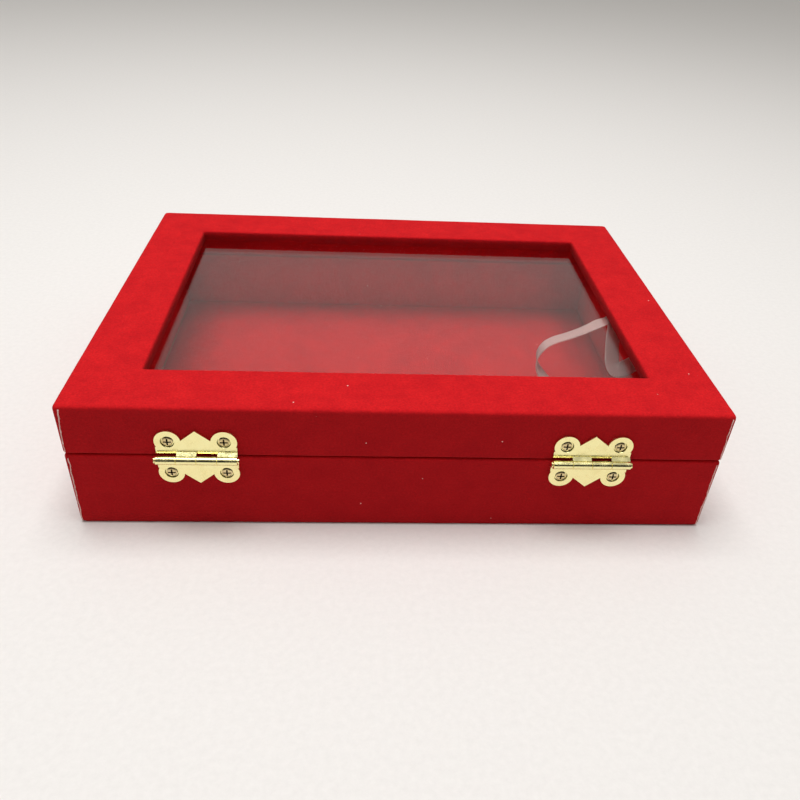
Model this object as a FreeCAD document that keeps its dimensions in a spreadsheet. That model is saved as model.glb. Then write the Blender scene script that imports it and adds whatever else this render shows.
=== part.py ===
import FreeCAD, Part
import math
import os

import Sketcher

# A velvet-covered display tray for coins, with a hinged glass lid.
#
# Frame: +Z up, +X to the right and -Y towards the person who opens it, so the clasp is at -Y
# and the two hinges are at +Y. The origin is the centre of the underside, on the table.
# The sides are boards wrapped in cloth. The lid is a shallow frame with a sheet of glass under
# its top rails. A ribbon inside, at -X, stops the lid when it leans back past upright.
#
# Lengths are millimetres and angles are degrees.

SIZES = (
    ("box_width", 200.0, "outside width, across the hinges"),
    ("box_depth", 150.0, "outside depth, front to back"),
    ("box_height", 45.0, "outside height with the lid shut"),
    ("seam_height", 27.5, "middle of the seam between tray and lid"),
    ("seam_gap", 0.3, "gap between the two cloth rims when shut"),
    ("cloth", 0.8, "velvet on the outside"),
    ("side_board", 6.0, "thickness of the side boards"),
    ("lining", 1.4, "velvet-covered card strip inside a side board"),
    ("rail_board", 3.3, "thickness of the lid's top rails"),
    ("border", 21.0, "velvet border round the window"),
    ("glass", 2.0, "thickness of the glass"),
    ("glass_slip", 0.3, "gap round the glass inside the lid"),
    ("cover", 0.5, "cover paper on the underside"),
    ("cover_inset", 0.9, "how far the cover paper stops short of the outside"),
    ("cloth_lift", 0.15, "how far the tray's cloth ends above the table"),
    ("bottom_board", 2.5, "thickness of the bottom board"),
    ("floor_card", 0.8, "card under the floor cloth"),
    ("floor_cloth", 0.5, "velvet on the floor card"),
    ("floor_slip", 0.3, "gap round the floor panel"),
    ("hinge_left_offset", 58.2, "left hinge's centre from the middle of the box"),
    ("hinge_right_offset", 60.6, "right hinge's centre from the middle of the box"),
    ("hinge_width", 23.8, "length of a hinge along its pin"),
    ("pin_standoff", 2.0, "hinge pin axis outside the cloth"),
    ("pin_radius", 0.6, "hinge pin"),
    ("pin_play", 0.05, "radial clearance of a knuckle on the pin"),
    ("pin_head_radius", 0.95, "peened end of the hinge pin"),
    ("pin_head", 0.35, "thickness of the peened end"),
    ("knuckle_radius", 1.35, "outside of a hinge knuckle"),
    ("knuckle_gap", 0.2, "gap between neighbouring knuckles"),
    ("leaf", 0.7, "thickness of the brass plates"),
    ("leaf_edge", 1.7, "edge of the leaf from the pin axis"),
    ("leaf_strip", 3.9, "top of the full-width strip, from the pin axis"),
    ("joggle_root", 2.7, "where a knuckle's joggle leaves the strip, from the pin axis"),
    ("joggle_knee", 2.1, "where the joggle starts to rise, from the pin axis"),
    ("joggle_crest", 1.2, "top of the joggle, from the pin axis"),
    ("joggle_inside", 0.3, "inner end of the joggle within the knuckle"),
    ("joggle_hollow", 0.85, "hollow under the joggle, from the pin axis"),
    ("joggle_hollow_rise", 1.1, "that hollow above the cloth"),
    ("joggle_foot", 1.9, "where the joggle's underside meets the strip, from the pin axis"),
    ("ear_offset", 8.2, "ear centre from the middle of the hinge"),
    ("ear_height", 5.8, "ear centre from the pin axis"),
    ("ear_radius", 3.85, "round ear that holds a screw"),
    ("peak_half", 4.9, "half the width of the middle peak"),
    ("peak_height", 9.8, "tip of the middle peak from the pin axis"),
    ("dish_radius", 2.05, "dished seat round a screw"),
    ("dish_depth", 0.45, "depth of the dished seat"),
    ("eye_radius", 1.4, "hole through a plate for a screw"),
    ("shank_radius", 0.8, "screw shank"),
    ("shank_length", 4.6, "screw below its head"),
    ("head_radius", 1.6, "screw head"),
    ("head_cone", 0.5, "countersunk part of the screw head"),
    ("head_dome", 0.25, "raised top of the screw head"),
    ("dome_edge", 1.3, "shoulder of the raised top, from the screw's axis"),
    ("dome_edge_rise", 0.18, "height of that shoulder"),
    ("dome_flat", 0.7, "nearly flat middle of the raised top"),
    ("slot_length", 2.3, "arm of the cross recess, end to end"),
    ("slot_width", 0.5, "arm of the cross recess, across"),
    ("slot_depth", 0.5, "cross recess"),
    ("pilot_radius", 0.85, "hole for a screw in cloth and board"),
    ("pilot_depth", 5.6, "screw hole from the cloth's face"),
    ("clasp_pin_height", 4.0, "clasp pin axis above the seam"),
    ("clasp_pin_standoff", 1.5, "clasp pin axis outside the cloth"),
    ("clasp_pin_radius", 0.5, "clasp pin"),
    ("clasp_knuckle", 1.1, "outside radius of a clasp knuckle"),
    ("clasp_half_knuckle", 2.4, "half the tongue's own knuckle"),
    ("clasp_outer_knuckle", 3.0, "length of each knuckle on the lid plate"),
    ("clasp_half_width", 7.5, "half the width of the lid plate"),
    ("clasp_lid_low", 5.3, "lower edge of the lid plate above the seam"),
    ("clasp_lid_high", 10.6, "shoulder of the lid plate above the seam"),
    ("clasp_lid_top", 11.8, "top edge of the lid plate above the seam"),
    ("clasp_top_half", 4.1, "half the width of that top edge"),
    ("web_root", 5.9, "where a knuckle's web leaves the lid plate, above the seam"),
    ("pin_proud", 0.15, "how far the clasp pin stands past its knuckles"),
    ("clasp_lid_screw", 8.2, "lid plate screws above the seam"),
    ("clasp_lid_spread", 4.7, "lid plate screws from the middle"),
    ("tongue_set", 0.25, "how far the tongue's middle sits inside its pin axis"),
    ("tongue_half_width", 3.9, "half the width of the tongue"),
    ("tongue_neck", 1.6, "end of the tongue's narrow neck below the clasp pin"),
    ("tongue_shoulder", 2.7, "where the tongue reaches its full width below the clasp pin"),
    ("tongue_taper", 10.4, "where the tongue starts to narrow below the clasp pin"),
    ("tongue_tip_half", 2.15, "half the width of the tongue's end"),
    ("tongue_reach", 12.6, "end of the tongue below the clasp pin"),
    ("tongue_eye", 9.3, "middle of the tongue's hole below the clasp pin"),
    ("eye_half_width", 1.75, "half the width of that hole"),
    ("eye_stretch", 0.5, "half the straight length of that hole"),
    ("tongue_tilt", 10.0, "how far the tongue hangs out when unsnapped"),
    ("lip_radius", 0.75, "rolled lip at the end of the tongue"),
    ("catch_height", 5.3, "middle of the catch plate below the seam"),
    ("catch_spread", 6.4, "catch plate screws from the middle"),
    ("catch_radius", 2.9, "round end of the catch plate"),
    ("stud_neck", 1.2, "neck of the catch stud"),
    ("stud_radius", 1.5, "round head of the catch stud"),
    ("stud_head_foot", 1.35, "underside of the stud's head outside the cloth"),
    ("stud_head_side", 0.45, "straight side of the stud's head"),
    ("stud_rise", 2.25, "tip of the catch stud outside the cloth"),
    ("ribbon_width", 6.0, "satin ribbon"),
    ("ribbon_thick", 0.4, "satin ribbon, across"),
)

# The ribbon's route from the tray's side to the lid's side, as it lies with the lid shut.
RIBBON_ROUTE = (
    (-91.8, 25.0, 10.5),
    (-84.8, 25.0, 10.5),
    (-76.5, 26.2, 11.4),
    (-68.0, 26.2, 12.8),
    (-60.3, 23.4, 14.8),
    (-54.2, 18.8, 18.2),
    (-51.6, 15.2, 23.2),
    (-53.2, 13.8, 28.8),
    (-58.6, 12.8, 32.4),
    (-65.6, 10.8, 34.2),
    (-72.8, 8.0, 35.3),
    (-79.0, 5.2, 36.2),
    (-83.4, 6.6, 34.6),
    (-83.8, 10.8, 32.2),
    (-86.6, 15.2, 31.0),
    (-91.8, 15.2, 31.0),
)
# The share of a run that the arc at its end may take up.
BEND_SHARE = 0.45

PARTS_FOLDER = "parts"

# A hinge has four knuckles in a row, and each leaf has two of them.
KNUCKLES = 4
OWN_KNUCKLES = (1, 3)
VOLUME_TOLERANCE = 0.02
TINY = 1e-6

# How far a dished seat narrows and a stud's crown rounds off, in degrees from the axis.
DISH_TAPER = -25
CROWN_TAPER = -45

ALONG_X = FreeCAD.Vector(1, 0, 0)
ALONG_Y = FreeCAD.Vector(0, 1, 0)
ALONG_Z = FreeCAD.Vector(0, 0, 1)

# How a fitting's own frame turns onto the box. Its own +Z stands out of the cloth.
ON_LID_BACK = FreeCAD.Rotation(-ALONG_X, ALONG_Z, ALONG_Y, "ZXY")
ON_TRAY_BACK = FreeCAD.Rotation(ALONG_X, -ALONG_Z, ALONG_Y, "ZXY")
ON_FRONT = FreeCAD.Rotation(ALONG_X, ALONG_Z, -ALONG_Y, "ZXY")

doc = FreeCAD.newDocument("display_tray")
sheet = doc.addObject("Spreadsheet::Sheet", "Sizes")
for row, (alias, size, meaning) in enumerate(SIZES, start=1):
    sheet.set(f"A{row}", meaning)
    sheet.set(f"B{row}", str(size))
    sheet.setAlias(f"B{row}", alias)
doc.recompute()

LONGEST_FIRST = sorted((alias for alias, _, _ in SIZES), key=len, reverse=True)
made = []


def cell(text):
    """The expression with each alias written as a cell of the sheet."""
    for alias in LONGEST_FIRST:
        text = text.replace("$" + alias, "Sizes." + alias)
    return text


def number(text):
    """What the expression comes to, as a plain number."""
    return float(sheet.evalExpression(cell(text)))


def bind(thing, **sizes):
    """Binds properties to expressions. A double underscore stands for a dot in the property's path."""
    for name, text in sizes.items():
        thing.setExpression(name.replace("__", "."), cell(text))


def place(thing, x="0", y="0", z="0", turn=None):
    """Puts a thing at bound coordinates, turned if a turn is given."""
    if turn is not None:
        thing.Placement = FreeCAD.Placement(FreeCAD.Vector(), turn)
    bind(thing, Placement__Base__x=x, Placement__Base__y=y, Placement__Base__z=z)


def keep(thing, label):
    """Names a finished sub-part and lists it for its file."""
    thing.Label = label
    made.append(thing)
    return thing


# ---- plain blocks and their booleans -------------------------------------------------------


def block(name, low, high):
    """A box between two corners, given as expressions along X, Y and Z."""
    box = doc.addObject("Part::Box", name)
    length, width, height = (f"({h})-({b})" for b, h in zip(low, high))
    bind(box, Length=length, Width=width, Height=height)
    place(box, *low)
    return box


def centred(name, half_x, half_y, low, high):
    """A box centred on the origin in plan."""
    return block(name, (f"-({half_x})", f"-({half_y})", low), (half_x, half_y, high))


def joined(name, things):
    """One shape of several that touch or overlap."""
    fuse = doc.addObject("Part::MultiFuse", name)
    fuse.Shapes = things
    fuse.Refine = True
    return fuse


def gathered(name, things):
    """Several solids kept apart in one sub-part."""
    group = doc.addObject("Part::Compound", name)
    group.Links = things
    return group


def without(name, base, tool):
    """The base with the tool's shape taken out of it."""
    cut = doc.addObject("Part::Cut", name)
    cut.Base = base
    cut.Tool = tool
    return cut


def rod(name, radius, length, x, y, z, turn=None):
    """A cylinder that starts at x, y, z and runs along its own +Z."""
    cylinder = doc.addObject("Part::Cylinder", name)
    bind(cylinder, Radius=radius, Height=length)
    place(cylinder, x, y, z, turn)
    return cylinder


# ---- sketches ------------------------------------------------------------------------------


def body_named(name):
    """An empty body."""
    return doc.addObject("PartDesign::Body", name)


def sketch_on(body, name, role, offset="0"):
    """A sketch on one of the body's own origin planes, moved along its normal."""
    plane = next(f for f in body.Origin.OriginFeatures if f.Role == role)
    sketch = body.newObject("Sketcher::SketchObject", name)
    sketch.AttachmentSupport = [(plane, "")]
    sketch.MapMode = "FlatFace"
    bind(sketch, AttachmentOffset__Base__z=offset)
    return sketch


def fix(sketch, kind, geometry, point, text):
    """Holds one coordinate of a point of the sketch at an expression."""
    size = number(text)
    if abs(size) < TINY:
        axis = -2 if kind == "DistanceX" else -1
        sketch.addConstraint(Sketcher.Constraint("PointOnObject", geometry, point, axis))
        return
    ends = (-1, 1, geometry, point) if size > 0 else (geometry, point, -1, 1)
    held = sketch.addConstraint(Sketcher.Constraint(kind, *ends, abs(size)))
    sketch.setExpression(f"Constraints[{held}]", cell(text if size > 0 else f"-({text})"))


def draw_circle(sketch, x, y, radius):
    """A circle with its centre and radius bound."""
    centre = FreeCAD.Vector(number(x), number(y), 0)
    circle = Part.Circle(centre, ALONG_Z, number(radius))
    curve = sketch.addGeometry(circle, False)
    held = sketch.addConstraint(Sketcher.Constraint("Radius", curve, number(radius)))
    sketch.setExpression(f"Constraints[{held}]", cell(radius))
    fix(sketch, "DistanceX", curve, 3, x)
    fix(sketch, "DistanceY", curve, 3, y)


def draw_outline(sketch, corners):
    """A closed outline of straight edges with every corner bound."""
    points = [FreeCAD.Vector(number(x), number(y), 0) for x, y in corners]
    edges = []
    for start, end in zip(points, points[1:] + points[:1]):
        edges.append(sketch.addGeometry(Part.LineSegment(start, end), False))
    for edge, after in zip(edges, edges[1:] + edges[:1]):
        sketch.addConstraint(Sketcher.Constraint("Coincident", edge, 2, after, 1))
    for edge, (x, y) in zip(edges, corners):
        fix(sketch, "DistanceX", edge, 1, x)
        fix(sketch, "DistanceY", edge, 1, y)


def pad(body, name, sketch, length, reverse=False):
    """Material from the sketch along its normal."""
    feature = body.newObject("PartDesign::Pad", name)
    feature.Profile = sketch
    feature.Reversed = reverse
    bind(feature, Length=length)
    return feature


def pocket(body, name, sketch, length, reverse=False):
    """Material taken away from the sketch, against its normal unless reversed."""
    feature = body.newObject("PartDesign::Pocket", name)
    feature.Profile = sketch
    feature.Reversed = reverse
    bind(feature, Length=length)
    return feature


# ---- the tray ------------------------------------------------------------------------------

HALF_WIDTH = "$box_width/2"
HALF_DEPTH = "$box_depth/2"
BOARD_X = "$box_width/2-$cloth"
BOARD_Y = "$box_depth/2-$cloth"
INSIDE_X = "$box_width/2-$cloth-$side_board"
INSIDE_Y = "$box_depth/2-$cloth-$side_board"
LINED_X = "$box_width/2-$cloth-$side_board-$lining"
LINED_Y = "$box_depth/2-$cloth-$side_board-$lining"
TRAY_RIM = "$seam_height-$seam_gap/2"
LID_RIM = "$seam_height+$seam_gap/2"
TRAY_BOARD_TOP = "$seam_height-$seam_gap/2-$cloth"
LID_BOARD_FOOT = "$seam_height+$seam_gap/2+$cloth"
FLOOR_FOOT = "$cover+$bottom_board"
RAIL_TOP = "$box_height-$cloth"
GLASS_TOP = "$box_height-$cloth-$rail_board"
GLASS_FOOT = "$box_height-$cloth-$rail_board-$glass"


def four_sides(prefix, outer_x, outer_y, thick, low, high):
    """Four upright strips round a rectangle: front and back run through, the sides fit between."""
    inner_x = f"{outer_x}-{thick}"
    inner_y = f"{outer_y}-{thick}"
    plans = {
        "front": ((f"-({outer_x})", f"-({outer_y})"), (outer_x, f"-({inner_y})")),
        "back": ((f"-({outer_x})", inner_y), (outer_x, outer_y)),
        "left": ((f"-({outer_x})", f"-({inner_y})"), (f"-({inner_x})", inner_y)),
        "right": ((inner_x, f"-({inner_y})"), (outer_x, inner_y)),
    }
    return {
        side: block(f"{prefix}_{side}_blank", (*corner, low), (*opposite, high))
        for side, (corner, opposite) in plans.items()
    }


def pilot_holes(name, face_y, turn, spots):
    """Screw holes from a cloth face into the board, as a tool to cut with."""
    holes = [
        rod(f"{name}_{i}", "$pilot_radius", "$pilot_depth", x, face_y, z, turn)
        for i, (x, z) in enumerate(spots)
    ]
    return gathered(name, holes)


INTO_BACK = FreeCAD.Rotation(ALONG_X, 90)
INTO_FRONT = FreeCAD.Rotation(ALONG_X, -90)


def hinge_spots(height):
    """Where the hinge screws of one half go: x and z of all four."""
    return [
        (f"{side}_offset{ear}$ear_offset", height)
        for side in ("-$hinge_left", "$hinge_right")
        for ear in ("-", "+")
    ]


def clasp_spots(spread, height):
    """Where the two screws of a clasp plate go."""
    return [(f"-{spread}", height), (spread, height)]


tray_back_holes = pilot_holes(
    "tray_back_holes", HALF_DEPTH, INTO_BACK, hinge_spots("$seam_height-$ear_height")
)
lid_back_holes = pilot_holes(
    "lid_back_holes", HALF_DEPTH, INTO_BACK, hinge_spots("$seam_height+$ear_height")
)
tray_front_holes = pilot_holes(
    "tray_front_holes",
    f"-({HALF_DEPTH})",
    INTO_FRONT,
    clasp_spots("$catch_spread", "$seam_height-$catch_height"),
)
lid_front_holes = pilot_holes(
    "lid_front_holes",
    f"-({HALF_DEPTH})",
    INTO_FRONT,
    clasp_spots("$clasp_lid_spread", "$seam_height+$clasp_lid_screw"),
)


def drilled_sides(prefix, sides, holes):
    """Keeps four side boards, with the screw holes cut where a side has them."""
    for side, board in sides.items():
        if side in holes:
            board = without(f"{prefix}_{side}_drilled", board, holes[side])
        keep(board, f"{prefix}_{side}")


keep(
    centred(
        "cover_paper",
        f"{HALF_WIDTH}-$cover_inset",
        f"{HALF_DEPTH}-$cover_inset",
        "0",
        "$cover",
    ),
    "underside_cover",
)
keep(centred("bottom", BOARD_X, BOARD_Y, "$cover", FLOOR_FOOT), "bottom_board")
drilled_sides(
    "tray_wall",
    four_sides("tray_wall", BOARD_X, BOARD_Y, "$side_board", FLOOR_FOOT, TRAY_BOARD_TOP),
    {"back": tray_back_holes, "front": tray_front_holes},
)
for side, strip in four_sides(
    "tray_lining", INSIDE_X, INSIDE_Y, "$lining", FLOOR_FOOT, TRAY_RIM
).items():
    keep(strip, f"tray_lining_{side}")
keep(
    centred(
        "card",
        f"{LINED_X}-$floor_slip",
        f"{LINED_Y}-$floor_slip",
        FLOOR_FOOT,
        f"{FLOOR_FOOT}+$floor_card",
    ),
    "floor_card",
)
keep(
    centred(
        "floor_cloth",
        f"{LINED_X}-$floor_slip",
        f"{LINED_Y}-$floor_slip",
        f"{FLOOR_FOOT}+$floor_card",
        f"{FLOOR_FOOT}+$floor_card+$floor_cloth",
    ),
    "floor_velvet",
)


def tray_velvet():
    """Cloth round the tray's four sides, turned in over the rim."""
    outside = centred("tray_outside", HALF_WIDTH, HALF_DEPTH, "$cloth_lift", TRAY_RIM)
    boards = centred("tray_boards", BOARD_X, BOARD_Y, "0", TRAY_BOARD_TOP)
    mouth = centred("tray_mouth", INSIDE_X, INSIDE_Y, "0", "$box_height")
    room = joined("tray_room", [boards, mouth, tray_back_holes, tray_front_holes])
    return without("tray_cloth", outside, room)


keep(tray_velvet(), "tray_velvet")

# ---- the lid -------------------------------------------------------------------------------

drilled_sides(
    "lid_wall",
    four_sides("lid_wall", BOARD_X, BOARD_Y, "$side_board", LID_BOARD_FOOT, GLASS_TOP),
    {"back": lid_back_holes, "front": lid_front_holes},
)
for side, rail in four_sides(
    "lid_rail", BOARD_X, BOARD_Y, "($border-2*$cloth)", GLASS_TOP, RAIL_TOP
).items():
    keep(rail, f"lid_rail_{side}")
for side, strip in four_sides(
    "lid_lining", INSIDE_X, INSIDE_Y, "$lining", LID_RIM, GLASS_FOOT
).items():
    keep(strip, f"lid_lining_{side}")
keep(
    centred(
        "pane",
        f"{INSIDE_X}-$glass_slip",
        f"{INSIDE_Y}-$glass_slip",
        GLASS_FOOT,
        GLASS_TOP,
    ),
    "glass_pane",
)


def lid_velvet():
    """Cloth over the lid's rails and sides, turned in at the rim and down the window's edge."""
    outside = centred("lid_outside", HALF_WIDTH, HALF_DEPTH, LID_RIM, "$box_height")
    boards = centred("lid_boards", BOARD_X, BOARD_Y, LID_BOARD_FOOT, RAIL_TOP)
    mouth = centred("lid_mouth", INSIDE_X, INSIDE_Y, "0", GLASS_TOP)
    room = joined("lid_room", [boards, mouth, lid_back_holes, lid_front_holes])
    cover = without("lid_cover", outside, room)
    edge = centred(
        "window_cloth",
        f"{HALF_WIDTH}-$border+$cloth",
        f"{HALF_DEPTH}-$border+$cloth",
        GLASS_TOP,
        "$box_height",
    )
    window = centred(
        "window",
        f"{HALF_WIDTH}-$border",
        f"{HALF_DEPTH}-$border",
        "0",
        "$box_height+$cloth",
    )
    return without("lid_cloth", joined("lid_cloth_whole", [cover, edge]), window)


keep(lid_velvet(), "lid_velvet")

# ---- screws --------------------------------------------------------------------------------


def screw_profile(body):
    """Half of the screw's section on the body's XZ plane, with its seat plane at z = 0."""
    sketch = sketch_on(body, f"{body.Name}_section", "XZ_Plane")
    draw_outline(
        sketch,
        (
            ("0", "-$head_cone-$shank_length"),
            ("$shank_radius/2", "-$head_cone-$shank_length"),
            ("$shank_radius", "-$head_cone-$shank_length+$shank_radius"),
            ("$shank_radius", "-$head_cone"),
            ("$head_radius", "0"),
            ("$dome_edge", "$dome_edge_rise"),
            ("$dome_flat", "$head_dome"),
            ("0", "$head_dome"),
        ),
    )
    return sketch


def screw(name, x, y, z):
    """A countersunk wood screw with a cross recess, standing on its own +Z at x, y, z."""
    body = body_named(name)
    turned = body.newObject("PartDesign::Revolution", f"{name}_turned")
    turned.Profile = screw_profile(body)
    turned.ReferenceAxis = (next(f for f in body.Origin.OriginFeatures if f.Role == "Z_Axis"), [""])
    turned.Angle = 360
    recess = sketch_on(body, f"{name}_recess", "XY_Plane", "$head_dome")
    long, short = "$slot_length/2", "$slot_width/2"
    draw_outline(
        recess,
        (
            (short, short),
            (short, long),
            (f"-{short}", long),
            (f"-{short}", short),
            (f"-{long}", short),
            (f"-{long}", f"-{short}"),
            (f"-{short}", f"-{short}"),
            (f"-{short}", f"-{long}"),
            (short, f"-{long}"),
            (short, f"-{short}"),
            (long, f"-{short}"),
            (long, short),
        ),
    )
    pocket(body, f"{name}_cross", recess, "$slot_depth")
    place(body, x, y, z)
    return body


def screw_pair(name, spread, height, seat, turn, x, y, z):
    """Two screws each side of a plate's middle, turned and placed with the plate."""
    pair = gathered(
        name,
        [screw(f"{name}_{i}", f"{s}{spread}", height, seat) for i, s in enumerate(("-", ""))],
    )
    place(pair, x, y, z, turn)
    return pair


# ---- hinges --------------------------------------------------------------------------------

KNUCKLE_PITCH = f"($hinge_width+$knuckle_gap)/{KNUCKLES}"
KNUCKLE_LENGTH = f"(($hinge_width+$knuckle_gap)/{KNUCKLES}-$knuckle_gap)"


def knuckle_start(index):
    """Where a knuckle begins along the pin, from the middle of the hinge."""
    return f"-$hinge_width/2+{index}*{KNUCKLE_PITCH}"


def leaf_plate(body):
    """The stamped plate: a strip, two round ears and a peak between them."""
    strip = sketch_on(body, f"{body.Name}_strip", "XY_Plane")
    half = "$hinge_width/2"
    draw_outline(
        strip,
        (
            (f"-{half}", "$leaf_edge"),
            (half, "$leaf_edge"),
            (half, "$leaf_strip"),
            ("$peak_half", "$leaf_strip"),
            ("$peak_half", "$ear_height"),
            ("0", "$peak_height"),
            ("-$peak_half", "$ear_height"),
            ("-$peak_half", "$leaf_strip"),
            (f"-{half}", "$leaf_strip"),
        ),
    )
    pad(body, f"{body.Name}_plate", strip, "$leaf")
    ears = sketch_on(body, f"{body.Name}_ears", "XY_Plane")
    for spot in ("-$ear_offset", "$ear_offset"):
        draw_circle(ears, spot, "$ear_height", "$ear_radius")
    pad(body, f"{body.Name}_ear_pads", ears, "$leaf")


def leaf_knuckles(body):
    """The leaf's own knuckles, each stepped out from the plate and curled round the pin."""
    for index in OWN_KNUCKLES:
        curl = sketch_on(body, f"{body.Name}_curl{index}", "YZ_Plane", knuckle_start(index))
        draw_circle(curl, "0", "$pin_standoff", "$knuckle_radius")
        pad(body, f"{body.Name}_knuckle{index}", curl, KNUCKLE_LENGTH)
        step = sketch_on(body, f"{body.Name}_step{index}", "YZ_Plane", knuckle_start(index))
        draw_outline(
            step,
            (
                ("$joggle_root", "0"),
                ("$joggle_root", "$leaf"),
                ("$joggle_knee", "$leaf"),
                ("$joggle_crest", "$pin_standoff"),
                ("$joggle_inside", "$pin_standoff"),
                ("$joggle_hollow", "$joggle_hollow_rise"),
                ("$joggle_foot", "0"),
            ),
        )
        pad(body, f"{body.Name}_joggle{index}", step, KNUCKLE_LENGTH)


def screw_seats(body, spread, height):
    """A dished seat with a hole through it, each side of a plate's middle."""
    for index, spot in enumerate((f"-{spread}", spread)):
        seat = sketch_on(body, f"{body.Name}_seat{index}", "XY_Plane", "$leaf")
        draw_circle(seat, spot, height, "$dish_radius")
        dish = pocket(body, f"{body.Name}_dish{index}", seat, "$dish_depth")
        dish.TaperAngle = DISH_TAPER
        eye = sketch_on(body, f"{body.Name}_eye{index}", "XY_Plane", "$leaf")
        draw_circle(eye, spot, height, "$eye_radius")
        pocket(body, f"{body.Name}_hole{index}", eye, "2*$leaf")


def pin_bore(body, height, standoff, radius):
    """A bore along the plate's X axis, through every knuckle."""
    bore = sketch_on(body, f"{body.Name}_bore", "YZ_Plane", "-$hinge_width")
    draw_circle(bore, height, standoff, radius)
    pocket(body, f"{body.Name}_pin_bore", bore, "2*$hinge_width", reverse=True)


def leaf(name, turn, x):
    """One hinge leaf. Both leaves of a hinge are the same stamping, one turned end for end."""
    body = body_named(name)
    leaf_plate(body)
    leaf_knuckles(body)
    pin_bore(body, "0", "$pin_standoff", "$pin_radius+$pin_play")
    screw_seats(body, "$ear_offset", "$ear_height")
    place(body, x, HALF_DEPTH, "$seam_height", turn)
    return body


def hinge_pin(name, x):
    """The pin with a peened head at each end, along the box's X axis."""
    along = FreeCAD.Rotation(ALONG_Y, 90)
    y, z = f"{HALF_DEPTH}+$pin_standoff", "$seam_height"
    start = f"{x}-$hinge_width/2-$knuckle_gap"
    shaft = rod(
        f"{name}_shaft",
        "$pin_radius",
        "$hinge_width+2*$knuckle_gap",
        start,
        y,
        z,
        along,
    )
    near = rod(
        f"{name}_near", "$pin_head_radius", "$pin_head", f"{start}-$pin_head", y, z, along
    )
    far = rod(
        f"{name}_far",
        "$pin_head_radius",
        "$pin_head",
        f"{start}+$hinge_width+2*$knuckle_gap",
        y,
        z,
        along,
    )
    return joined(name, [shaft, near, far])


def hinge(name, x):
    """A butterfly hinge: two leaves, a pin and four screws."""
    keep(leaf(f"{name}_upper", ON_LID_BACK, x), f"{name}_lid_leaf")
    keep(leaf(f"{name}_lower", ON_TRAY_BACK, x), f"{name}_tray_leaf")
    keep(hinge_pin(f"{name}_rod", x), f"{name}_pin")
    for half, turn in (("lid", ON_LID_BACK), ("tray", ON_TRAY_BACK)):
        pair = screw_pair(
            f"{name}_{half}_pair",
            "$ear_offset",
            "$ear_height",
            "$head_cone",
            turn,
            x,
            HALF_DEPTH,
            "$seam_height",
        )
        keep(pair, f"{name}_{half}_screws")


hinge("hinge_left", "-$hinge_left_offset")
hinge("hinge_right", "$hinge_right_offset")

# ---- clasp ---------------------------------------------------------------------------------


def on_front(thing):
    """Stands a clasp piece on the front, with its own origin on the seam."""
    place(thing, "0", f"-({HALF_DEPTH})", "$seam_height", ON_FRONT)
    return thing


def clasp_lid_plate():
    """The plate on the lid, with a knuckle at each end of the tongue's."""
    body = body_named("clasp_upper")
    face = sketch_on(body, "clasp_upper_face", "XY_Plane")
    half = "$clasp_half_width"
    draw_outline(
        face,
        (
            (f"-{half}", "$clasp_lid_low"),
            (half, "$clasp_lid_low"),
            (half, "$clasp_lid_high"),
            ("$clasp_top_half", "$clasp_lid_top"),
            ("-$clasp_top_half", "$clasp_lid_top"),
            (f"-{half}", "$clasp_lid_high"),
        ),
    )
    pad(body, "clasp_upper_plate", face, "$leaf")
    for side, start in (
        ("near", "-$clasp_half_knuckle-$knuckle_gap-$clasp_outer_knuckle"),
        ("far", "$clasp_half_knuckle+$knuckle_gap"),
    ):
        curl = sketch_on(body, f"clasp_upper_curl_{side}", "YZ_Plane", start)
        draw_circle(curl, "$clasp_pin_height", "$clasp_pin_standoff", "$clasp_knuckle")
        pad(body, f"clasp_upper_knuckle_{side}", curl, "$clasp_outer_knuckle")
        step = sketch_on(body, f"clasp_upper_step_{side}", "YZ_Plane", start)
        draw_outline(
            step,
            (
                ("$web_root", "0"),
                ("$web_root", "$leaf"),
                ("$clasp_pin_height+$clasp_knuckle/2", "$clasp_pin_standoff"),
                ("$clasp_pin_height", "$clasp_pin_standoff/3"),
                ("$clasp_pin_height+$clasp_knuckle/2", "0"),
            ),
        )
        pad(body, f"clasp_upper_web_{side}", step, "$clasp_outer_knuckle")
    pin_bore(body, "$clasp_pin_height", "$clasp_pin_standoff", "$clasp_pin_radius")
    screw_seats(body, "$clasp_lid_spread", "$clasp_lid_screw")
    return on_front(body)


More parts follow.
